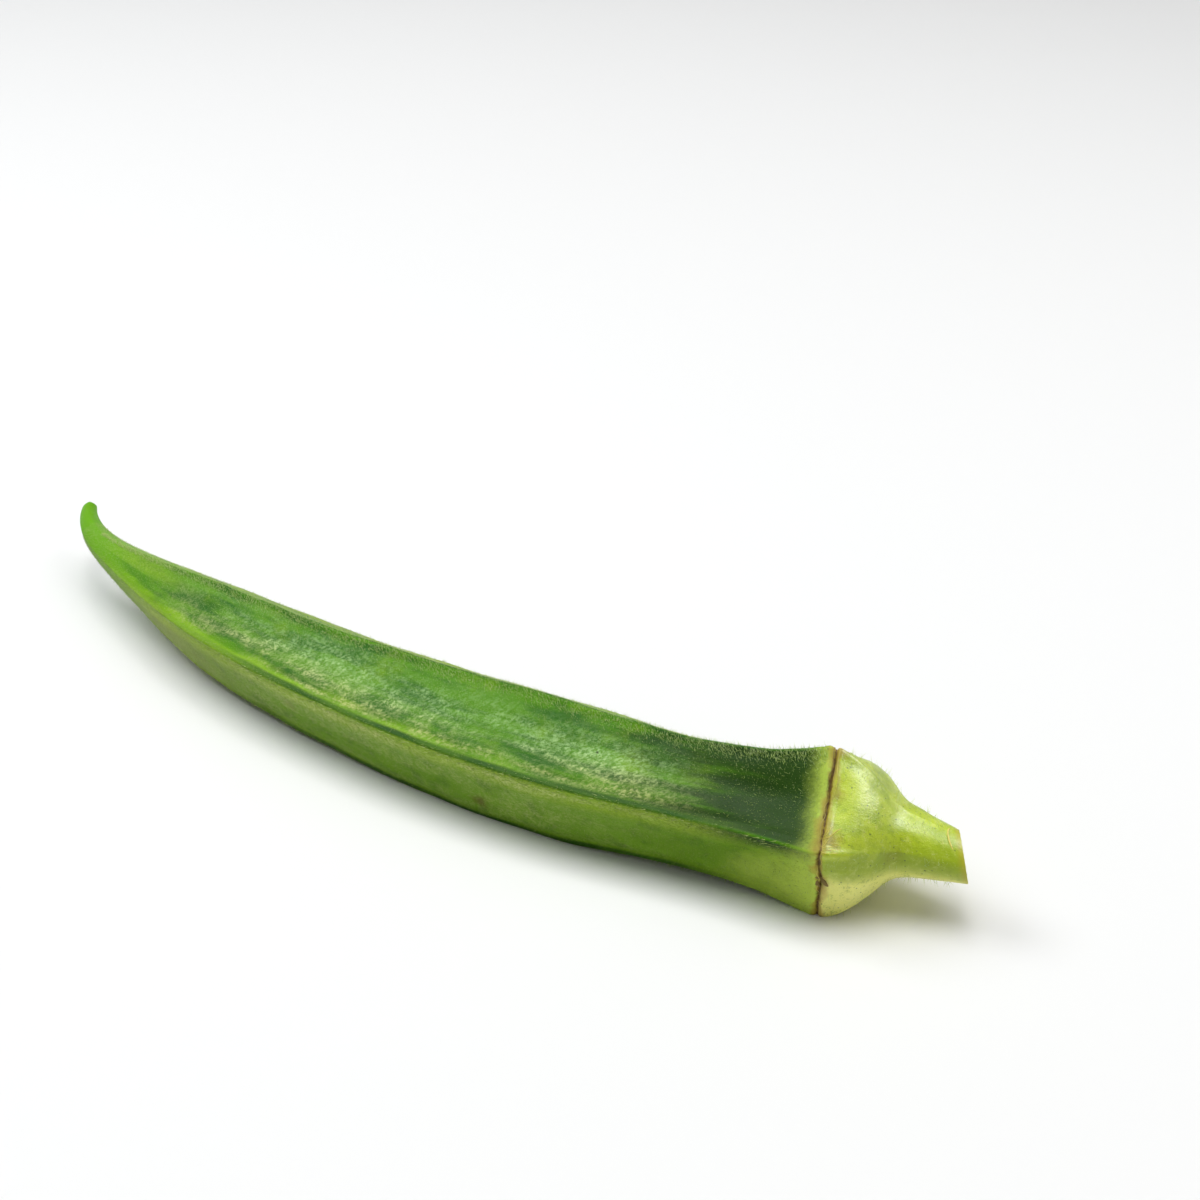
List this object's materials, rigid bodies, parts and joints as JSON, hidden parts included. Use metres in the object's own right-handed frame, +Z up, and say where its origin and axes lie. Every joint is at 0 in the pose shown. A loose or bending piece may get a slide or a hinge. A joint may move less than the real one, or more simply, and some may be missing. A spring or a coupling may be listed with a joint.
{
  "type": "okra pod",
  "caption": "Whole fresh okra pod lying on its side: ridged and gently bent, with a hooked tip, a flared shoulder with a scar ring, a conical cap and a slanted cut stem.",
  "frame": {"origin": "centre of the bounding box's bottom, on the surface that the pod lies on", "axes": "+X along the chord from the hooked tip to the cut stem, +Z up; the pod's inner, concave side faces +Y"},
  "size_m": [0.137, 0.0254, 0.0175],
  "materials": {
    "okra_skin": "waxy and finely hairy, satin"
  },
  "bodies": {
    "root": {"okra_pod": "okra_skin"}
  },
  "joints": []
}
